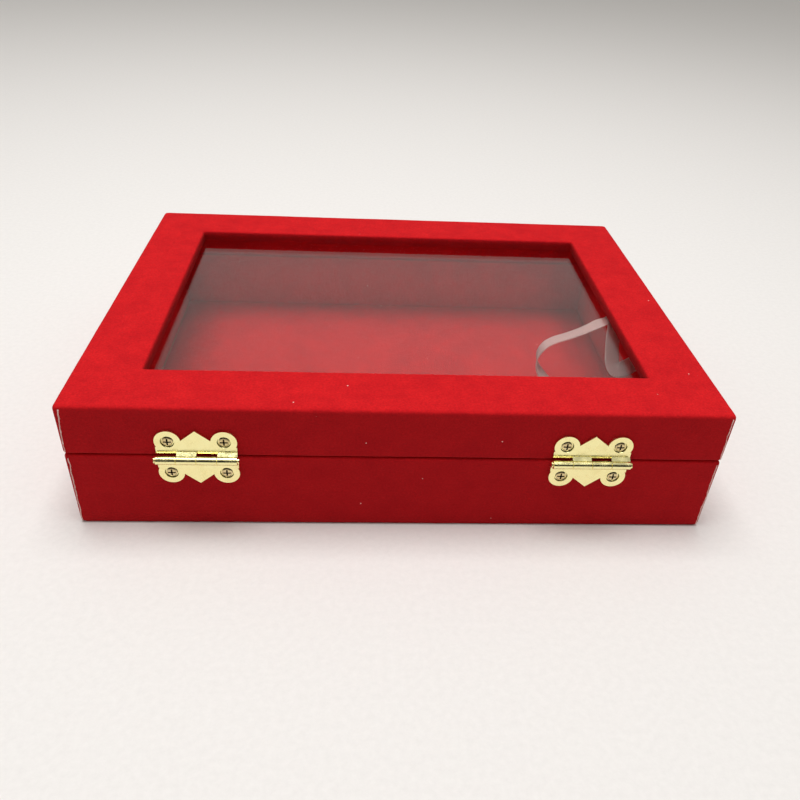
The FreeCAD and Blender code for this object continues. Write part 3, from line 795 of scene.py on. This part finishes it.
@dataclass
class CutEdge:
    """The raw edge of the back cloth where it was trimmed at an upright corner of the box.

    The pale backing shows as a thin, wavering line with loose thread ends.
    """

    name: str
    body: Body
    half_x: float
    half_y: float
    low: float
    high: float
    lean: float
    side: int
    inset: float = 0.62
    corner: float = 1.3
    width: float = 0.4
    depth: float = 0.3
    proud: float = 0.05
    step: float = 0.45
    threads_per_mm: float = 2.2
    thread_radius: float = 0.035

    def on_corner(self, inboard: float) -> tuple[Vector, Vector]:
        """A place on the box's rounded corner and the way out of it there.

        Args:
            inboard: Distance along the cloth from the middle of the corner towards the back.

        Returns:
            The place and the outward direction, both seen from above.
        """
        centre = Vector((self.half_x - self.corner, self.half_y - self.corner))
        turn = math.radians(45) + inboard / self.corner
        past = max(0.0, turn - math.radians(90)) * self.corner
        turn = min(turn, math.radians(90))
        out = Vector((math.cos(turn), math.sin(turn)))
        spot = centre + out * self.corner - Vector((past, 0.0))
        return Vector((self.side * spot.x, spot.y)), Vector((self.side * out.x, out.y))

    def inboard_at(self, height: float) -> float:
        """How far inboard of the corner's middle the trimmed edge runs at a height.

        Args:
            height: The height above the table, in millimetres.

        Returns:
            The distance along the cloth, in millimetres.
        """
        share = (height - self.low) / (self.high - self.low)
        place = Vector((self.side * 40.0, 0.0, height))
        wander = 0.34 * sway(place, 5.0) + 0.16 * sway(place, 1.2)
        return self.inset + self.lean * share**2 + wander

    def build(self, finish: Grainy) -> bpy.types.Object:
        """Builds the edge with its threads.

        Args:
            finish: The raw cloth's finish.

        Returns:
            The edge.
        """
        chance = random.Random(self.name)
        count = max(2, round((self.high - self.low) / self.step))
        points: list[Point] = []
        faces: list[tuple[int, ...]] = []
        for i in range(count + 1):
            height = self.low + (self.high - self.low) * i / count
            middle = self.inboard_at(height)
            place = Vector((self.side * 17.0, 5.0, height))
            half = self.width * (0.5 + 0.22 * sway(place, 1.1))
            rise = self.proud + 0.12 * sway(place, 2.2, 4.0)
            for offset, up in (
                (-half, -self.depth),
                (-half * 0.7, rise - 0.03),
                (0.0, rise),
                (half * 0.7, rise - 0.05),
                (half, -self.depth),
            ):
                spot, out = self.on_corner(middle + offset)
                spot += out * up
                points.append((spot.x, spot.y, height))
        around = len(points) // (count + 1)
        for i in range(count):
            for j in range(around):
                k = (j + 1) % around
                low, high = i * around, (i + 1) * around
                faces.append((low + j, low + k, high + k, high + j))
        faces.append(tuple(range(around)))
        faces.append(tuple(count * around + j for j in range(around)))
        for _ in range(round((self.high - self.low) * self.threads_per_mm)):
            height = chance.uniform(self.low + 0.4, self.high - 0.4)
            spot, out = self.on_corner(self.inboard_at(height) + chance.uniform(-0.2, 0.2))
            root = Vector((spot.x, spot.y, height))
            way = Vector((out.x, out.y, 0.0)) * chance.uniform(0.1, 0.5) + Vector(
                (chance.uniform(-0.6, 0.6), chance.uniform(-0.2, 0.2), chance.uniform(-1, 1))
            )
            self.add_thread(points, faces, root, way.normalized(), chance.uniform(0.25, 0.7))
        piece = mesh_piece(self.name, points, faces, finish.material())
        return present(piece, self.body, Slot.OUTER_VELVET)

    def add_thread(
        self,
        points: list[Point],
        faces: list[tuple[int, ...]],
        root: Vector,
        way: Vector,
        length: float,
    ) -> None:
        """Adds one loose thread end, as a fine three-sided spike.

        Args:
            points: The edge's corners, which the thread's are added to.
            faces: The edge's faces, which the thread's are added to.
            root: Where the thread leaves the edge.
            way: The direction that it points in.
            length: Its length, in millimetres.
        """
        across = way.orthogonal().normalized()
        other = way.cross(across)
        first = len(points)
        for turn in range(3):
            angle = math.tau * turn / 3
            offset = math.cos(angle) * across + math.sin(angle) * other
            spot = root + self.thread_radius * offset
            points.append(tuple(spot))
        points.append(tuple(root + way * length))
        faces.append((first, first + 1, first + 2))
        for turn in range(3):
            faces.append((first + turn, first + (turn + 1) % 3, first + 3))


# ---- padded slabs --------------------------------------------------------------------------


@dataclass
class SoftSlab:
    """A board, card strip or pane with rounded edges, divided finely enough to be uneven."""

    name: str
    body: Body
    slot: Slot
    stands_for: str
    radius: float
    step: float = 3.0
    waves: float = 0.0
    shrink: float = 0.02
    smooth: bool = True

    def stations(self, low: float, high: float) -> list[float]:
        """Places along one side: close together at the rounded ends, even between them.

        Args:
            low: Where the side starts, in millimetres.
            high: Where it ends.

        Returns:
            The places, from low to high.
        """
        radius = min(self.radius, (high - low) / 2 * 0.98)
        ends = [radius * (1 - math.cos(math.radians(a))) for a in (0, 22.5, 45, 67.5, 90)]
        inner = max(1, round((high - low - 2 * radius) / self.step))
        middle = [
            low + radius + (high - low - 2 * radius) * i / inner for i in range(1, inner)
        ]
        return [low + e for e in ends] + middle + [high - e for e in reversed(ends)]

    def build(self, material: bpy.types.Material) -> bpy.types.Object:
        """Builds the slab in its solid's place.

        Args:
            material: The slab's finish.

        Returns:
            The slab.
        """
        low, high = (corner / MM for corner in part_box(self.stands_for))
        low = low + Vector((self.shrink,) * 3)
        high = high - Vector((self.shrink,) * 3)
        axes = [self.stations(low[i], high[i]) for i in range(3)]
        last = [len(a) - 1 for a in axes]
        index: dict[tuple[int, int, int], int] = {}
        points: list[Vector] = []
        for i, x in enumerate(axes[0]):
            for j, y in enumerate(axes[1]):
                for k, z in enumerate(axes[2]):
                    if 0 in (i, j, k) or i == last[0] or j == last[1] or k == last[2]:
                        index[i, j, k] = len(points)
                        points.append(Vector((x, y, z)))
        faces = []
        for axis in range(3):
            a, b = [n for n in range(3) if n != axis]
            for side in (0, last[axis]):
                for p in range(last[a]):
                    for q in range(last[b]):
                        corners = []
                        for dp, dq in ((0, 0), (1, 0), (1, 1), (0, 1)):
                            spot = [0, 0, 0]
                            spot[axis], spot[a], spot[b] = side, p + dp, q + dq
                            corners.append(index[tuple(spot)])
                        faces.append(tuple(corners))
        radii = [min(self.radius, (high[n] - low[n]) / 2 * 0.98) for n in range(3)]
        rounding = min(radii)
        for point in points:
            core = Vector(
                min(max(point[n], low[n] + rounding), high[n] - rounding) for n in range(3)
            )
            out = point - core
            if out.length > rounding:
                point[:] = core + out.normalized() * rounding
        piece = mesh_piece(self.name, points, faces, material, self.smooth)
        if self.waves:
            settle(piece, lambda place: -self.waves * (0.5 + 0.5 * sway(place, 26.0, 2.0)))
        return present(piece, self.body, self.slot, self.stands_for)


# ---- ribbon --------------------------------------------------------------------------------


@dataclass
class RibbonStay:
    """The satin ribbon that stops the lid, slack and looped over inside the shut box."""

    # Route points from the tray's side to the lid's side, in millimetres, each with the
    # direction that the ribbon's width takes there.
    route: tuple[tuple[Point, Point], ...] = (
        ((-91.8, 25.0, 10.5), (0.0, 1.0, 0.0)),
        ((-84.8, 25.0, 10.5), (0.0, 1.0, 0.0)),
        ((-76.5, 25.2, 11.4), (0.05, 1.0, 0.05)),
        ((-68.0, 23.6, 13.6), (0.1, 1.0, 0.1)),
        ((-60.0, 20.0, 17.0), (0.3, 0.95, 0.1)),
        ((-54.4, 16.6, 21.2), (0.3, 0.93, -0.1)),
        ((-52.6, 15.2, 26.4), (0.2, 0.97, -0.05)),
        ((-54.6, 14.8, 31.2), (0.15, 0.97, 0.0)),
        ((-58.4, 13.8, 33.4), (0.15, 0.97, 0.1)),
        ((-64.4, 12.4, 34.5), (0.1, 0.97, 0.15)),
        ((-72.2, 9.0, 35.8), (0.1, 0.97, 0.15)),
        ((-78.8, 5.4, 37.1), (0.3, 0.93, 0.0)),
        ((-83.6, 2.8, 37.8), (0.75, 0.65, 0.0)),
        ((-83.0, 7.2, 37.0), (0.96, 0.28, 0.0)),
        ((-82.0, 10.0, 33.4), (0.94, 0.3, 0.1)),
        ((-81.9, 12.8, 28.4), (0.94, 0.3, 0.1)),
        ((-82.0, 15.6, 23.8), (0.94, 0.3, 0.1)),
        ((-85.0, 18.4, 22.6), (0.6, 0.3, -0.7)),
        ((-91.8, 17.2, 28.4), (0.0, 0.15, -1.0)),
    )
    name: str = "satin_ribbon"
    width: float = 6.0
    thick: float = 0.26
    cup: float = 0.22
    selvedge: float = 0.08
    across: int = 10
    length: float = 114.0

    def centreline(self) -> list[Vector]:
        """Draws the smooth spline that the route's points control.

        Returns:
            Its points, in millimetres.
        """
        data = bpy.data.curves.new("ribbon_route", "CURVE")
        data.dimensions = "3D"
        data.resolution_u = 20
        spline = data.splines.new("NURBS")
        spline.points.add(len(self.route) - 1)
        for point, (place, _) in zip(spline.points, self.route):
            point.co = (*(c * MM for c in place), 1.0)
        spline.order_u = 3
        spline.use_endpoint_u = True
        guide = bpy.data.objects.new("ribbon_route", data)
        bpy.context.scene.collection.objects.link(guide)
        line = bpy.data.meshes.new_from_object(guide)
        points = [v.co / MM for v in line.vertices]
        bpy.data.objects.remove(guide)
        bpy.data.meshes.remove(line)
        return points

    def facings(self, line: list[Vector]) -> list[Vector]:
        """The width's direction at each point of the line, square to the line.

        Args:
            line: The ribbon's centreline, in millimetres.

        Returns:
            One unit direction for each point.
        """
        runs = [math.dist(a[0], b[0]) for a, b in zip(self.route, self.route[1:])]
        marks = np.concatenate([[0.0], np.cumsum(runs)]) / sum(runs)
        steps = [(b - a).length for a, b in zip(line, line[1:])]
        shares = np.concatenate([[0.0], np.cumsum(steps)]) / sum(steps)
        wanted = np.array([way for _, way in self.route])
        mixed = [np.interp(shares, marks, wanted[:, axis]) for axis in range(3)]
        found = []
        for i, point in enumerate(line):
            ahead = line[min(i + 1, len(line) - 1)] - line[max(i - 1, 0)]
            ahead.normalize()
            way = Vector(mixed[axis][i] for axis in range(3))
            way -= ahead * way.dot(ahead)
            found.append(way.normalized())
        return found

    def build(self, finish: Satin) -> bpy.types.Object:
        """Builds the ribbon as a thin closed band.

        Args:
            finish: The ribbon's satin.

        Returns:
            The ribbon.
        """
        line = self.centreline()
        ways = self.facings(line)
        points: list[Vector] = []
        tags: list[Plan] = []
        ring = 2 * (self.across + 1)
        travelled = 0.0
        for i, (point, way) in enumerate(zip(line, ways)):
            ahead = (line[min(i + 1, len(line) - 1)] - line[max(i - 1, 0)]).normalized()
            up = ahead.cross(way).normalized()
            travelled += (point - line[i - 1]).length if i else 0.0
            for face in (1, -1):
                for j in range(self.across + 1):
                    share = (2 * j / self.across - 1) * face
                    bulge = self.cup * (1 - share**2)
                    half = self.thick / 2 + self.selvedge * max(0.0, abs(share) - 0.8) / 0.2
                    spot = point + way * share * self.width / 2 + up * (bulge + face * half)
                    points.append(spot)
                    tags.append((share * self.width / 2 * MM, travelled * MM))
        faces = []
        for i in range(len(line) - 1):
            for j in range(ring):
                k = (j + 1) % ring
                faces.append((i * ring + j, i * ring + k, (i + 1) * ring + k, (i + 1) * ring + j))
        faces.append(tuple(range(ring)))
        faces.append(tuple((len(line) - 1) * ring + j for j in range(ring)))
        piece = mesh_piece(self.name, points, faces, finish.material())
        layer = piece.data.uv_layers.new(name="along")
        for loop in piece.data.loops:
            layer.data[loop.index].uv = tags[loop.vertex_index]
        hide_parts("lid_stay_ribbon")
        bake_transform(piece)
        log.info("%s: %d faces across the hinge", piece.name, len(piece.data.polygons))
        return piece


# ---- sub-assemblies ------------------------------------------------------------------------


@dataclass
class BoxHalf:
    """What the tray and the lid have in common: boards, a velvet cover and lining strips."""

    body: Body
    half_x: float = 100.0
    half_y: float = 75.0
    cloth: float = 0.75
    edge: float = 1.1
    cut_above: float = 0.8
    cut_below: float = 1.2
    left_lean: float = 0.4
    sides: tuple[str, ...] = ("front", "back", "left", "right")

    def dress_boards(self, nodes: Iterable[str]) -> None:
        """Gives the hidden boards their fibreboard."""
        material = FIBREBOARD.material()
        for name in nodes:
            dress(name, material)

    def line_sides(self, prefix: str) -> None:
        """Builds the four velvet-covered card strips inside.

        Args:
            prefix: The half's name, as its nodes start with.
        """
        material = LINING_VELVET.material()
        for side in self.sides:
            SoftSlab(
                f"{prefix}_lining_strip_{side}",
                self.body,
                Slot.LINING_VELVET,
                f"{prefix}_lining_{side}",
                radius=0.6,
                step=2.5,
                waves=0.12,
            ).build(material)

    def trim_back_corners(self, prefix: str, low: float, high: float, lean: float) -> None:
        """Builds the trimmed cloth edges at the two upright back corners.

        Args:
            prefix: The half's name.
            low: The height of the half's lower edge, in millimetres.
            high: The height of its upper edge.
            lean: How far the right edge drifts towards the back on its way up.
        """
        for side, word in ((1, "right"), (-1, "left")):
            CutEdge(
                f"{prefix}_cut_edge_{word}",
                self.body,
                self.half_x,
                self.half_y,
                low=low + self.cut_above,
                high=high - self.cut_below,
                lean=lean if side > 0 else lean * self.left_lean,
                side=side,
            ).build(CUT_CLOTH)


@dataclass
class Tray(BoxHalf):
    """The lower half, with its floor panel and cover paper."""

    body: Body = Body.TRAY
    foot_edge: float = 1.4

    def build(self) -> None:
        """Builds the tray's soft pieces and dresses its boards."""
        low, rim = (corner.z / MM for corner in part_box("tray_velvet"))
        mouth = self.half_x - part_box("tray_lining_right")[1].x / MM
        section = (
            Turn(0.0, low, self.foot_edge),
            Turn(0.0, rim, self.edge),
            Turn(mouth, rim),
            Turn(mouth, rim - self.cloth),
            Turn(self.cloth, rim - self.cloth),
            Turn(self.cloth, low),
        )
        cover = ClothCover(
            "tray_cover", self.body, section, "tray_velvet", self.half_x, self.half_y
        ).build(OUTER_VELVET)
        self.line_sides("tray")
        self.trim_back_corners("tray", low, rim, 0.5)
        SoftSlab(
            "floor_panel_cloth",
            self.body,
            Slot.FLOOR_VELVET,
            "floor_velvet",
            radius=0.2,
            step=3.0,
            waves=0.08,
        ).build(FLOOR_VELVET.material())
        SoftSlab(
            "cover_paper", self.body, Slot.COVER_PAPER, "underside_cover", radius=0.12, step=4.0
        ).build(COVER_PAPER.material())
        self.dress_boards([f"tray_wall_{side}" for side in self.sides] + ["bottom_board"])
        dress("floor_card", GREY_CARD.material())


@dataclass
class Lid(BoxHalf):
    """The upper half, with its window and glass."""

    body: Body = Body.LID
    top_edge: float = 1.5
    window_edge: float = 1.1
    pane_gap: float = 0.05

    def build(self) -> None:
        """Builds the lid's soft pieces and its pane, and dresses its boards."""
        rim, top = (corner.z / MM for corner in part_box("lid_velvet"))
        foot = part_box("glass_pane")[1].z / MM + self.pane_gap
        mouth = self.half_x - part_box("lid_lining_right")[1].x / MM
        window = self.half_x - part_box("lid_rail_right")[0].x / MM + self.cloth
        section = (
            Turn(0.0, rim, self.edge),
            Turn(0.0, top, self.top_edge),
            Turn(window, top, self.window_edge),
            Turn(window, foot),
            Turn(window - self.cloth, foot),
            Turn(window - self.cloth, top - self.cloth),
            Turn(self.cloth, top - self.cloth),
            Turn(self.cloth, rim + self.cloth),
            Turn(mouth, rim + self.cloth),
            Turn(mouth, rim),
        )
        cover = ClothCover(
            "lid_cover", self.body, section, "lid_velvet", self.half_x, self.half_y
        ).build(OUTER_VELVET)
        self.line_sides("lid")
        self.trim_back_corners("lid", rim, top, 1.3)
        glass = SoftSlab(
            "window_glass",
            self.body,
            Slot.GLASS,
            "glass_pane",
            radius=0.2,
            step=40.0,
            smooth=False,
        ).build(GLASS.material())
        glass.visible_shadow = False
        self.dress_boards([f"lid_wall_{side}" for side in self.sides])
        # The cover's cloth turns under the rails, where it shows through the glass's edge; it
        # takes the lining's darker tones, painted shade under the rails.
        turned = LINING_VELVET.material()
        for side in self.sides:
            dress(f"lid_rail_{side}", turned)


@dataclass
class Fittings:
    """The stock brass fittings: two butterfly hinges and the front clasp."""

    round_over: float = 0.09
    sharp_angle: float = 35.0

    def build(self) -> None:
        """Rounds over the stamped edges and plates every piece."""
        plate, screw = BRASS.material(), SCREW_BRASS.material()
        for name in sorted(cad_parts):
            if not name.startswith(("hinge_", "clasp_")):
                continue
            dress(name, screw if name.endswith("_screws") else plate)
            self.soften(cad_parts[name])

    def soften(self, node: bpy.types.Object) -> None:
        """Adds the small radius that stamping and plating leave on every edge.

        Args:
            node: The fitting.
        """
        bevel = node.modifiers.new("plated_edge", "BEVEL")
        bevel.width = self.round_over * MM
        bevel.segments = 2
        bevel.limit_method = "ANGLE"
        bevel.angle_limit = math.radians(self.sharp_angle)
        bevel.use_clamp_overlap = True
        bevel.harden_normals = False


def dress(node: str, material: bpy.types.Material) -> None:
    """Gives a kept node its finish."""
    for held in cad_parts[node].material_slots:
        held.material = material


# ---- studio --------------------------------------------------------------------------------


@dataclass
class Studio:
    """A pale table and room, two soft lights, a dark card and the camera."""

    camera_at: Point = (14.335, 250.681, 171.325)
    camera_turn: Point = (55.206, -2.743, 177.673)
    lens_mm: float = 33.709
    sensor_mm: float = 36.0
    room: str = "#d3d1cd"
    room_strength: float = 0.66
    card_half_width: float = 1.8
    card_back: float = 0.75
    card_foot: float = 0.01
    card_top: float = 0.75
    table_reach: float = 3.0

    def build(self) -> None:
        """Builds the table, the dark card, the lights and the camera."""
        self.lay_table()
        self.hang_dark_card()
        self.light()
        self.stand_camera()

    @staticmethod
    def hang_sheet(corners: Sequence[Point], finish: Grainy) -> bpy.types.Object:
        """Stands a flat four-cornered sheet in the studio.

        Args:
            corners: Its corners, in metres.
            finish: Its finish, which it is also named for.

        Returns:
            The sheet, as part of the stage.
        """
        mesh = bpy.data.meshes.new(finish.name)
        mesh.from_pydata(corners, [], [(0, 1, 2, 3)])
        mesh.materials.append(finish.material())
        sheet = bpy.data.objects.new(finish.name, mesh)
        bpy.context.scene.collection.objects.link(sheet)
        return sheet

    def lay_table(self) -> None:
        """Lays a wide sheet of pale paper under the box."""
        reach = self.table_reach
        corners = [(-reach, -reach, 0), (reach, -reach, 0), (reach, reach, 0), (-reach, reach, 0)]
        paper = Grainy(
            "table_paper", "#e5e2df", "#ebe8e5", grain_mm=2.0, tooth_mm=0.02, roughness=0.7
        )
        self.hang_sheet(corners, paper)

    def hang_dark_card(self) -> None:
        """Hangs a dark card that only shades and reflects: it keeps light off the back."""
        wide, back, foot, top = (
            self.card_half_width,
            self.card_back,
            self.card_foot,
            self.card_top,
        )
        corners = [(-wide, back, foot), (wide, back, foot), (wide, back, top), (-wide, back, top)]
        card = self.hang_sheet(corners, Grainy("dark_card", "#151416", "#1c1a1c", grain_mm=8.0))
        card.visible_camera = False
        card.visible_transmission = False

    def light(self) -> None:
        """Hangs a soft light overhead and a weaker one behind the box, in an even, pale room."""
        world = bpy.data.worlds.new("pale_room")
        bpy.context.scene.world = world
        world.use_nodes = True
        backdrop = world.node_tree.nodes["Background"]
        backdrop.inputs["Color"].default_value = linear(self.room)
        backdrop.inputs["Strength"].default_value = self.room_strength
        self.softbox(
            "ceiling_light", (0.05, 0.0, 1.05), aim=(0.05, 0.0, 0.0), size=0.6, watts=9.0
        )
        self.softbox("room_fill", (-0.1, 0.85, 0.95), aim=(0.0, 0.0, 0.0), size=0.5, watts=2.2)

    @staticmethod
    def softbox(name: str, place: Point, aim: Point, size: float, watts: float) -> None:
        """Hangs a square area light.

        Args:
            name: The lamp's name.
            place: Where it hangs, in metres.
            aim: The point that it faces.
            size: The length of its side, in metres.
            watts: Its power.
        """
        data = bpy.data.lights.new(name, "AREA")
        data.size = size
        data.energy = watts
        lamp = bpy.data.objects.new(name, data)
        lamp.location = place
        lamp.rotation_euler = (Vector(aim) - Vector(place)).to_track_quat("-Z", "Y").to_euler()
        bpy.context.scene.collection.objects.link(lamp)

    def stand_camera(self) -> None:
        """Stands the camera behind the box, looking down at its hinges."""
        data = bpy.data.cameras.new("camera")
        data.lens = self.lens_mm
        data.sensor_width = self.sensor_mm
        data.clip_start = 0.01
        camera = bpy.data.objects.new("camera", data)
        camera.location = Vector(self.camera_at) * MM
        camera.rotation_euler = tuple(math.radians(a) for a in self.camera_turn)
        bpy.context.scene.collection.objects.link(camera)
        bpy.context.scene.camera = camera


def main() -> None:
    """Builds the studio and the display tray."""
    logging.basicConfig(level=logging.INFO, format="%(name)s %(message)s")
    bpy.context.scene.view_settings.view_transform = "Standard"
    Studio().build()
    RibbonStay().build(SATIN)
    Tray().build()
    Lid().build()
    Fittings().build()


if __name__ == "__main__":
    main()
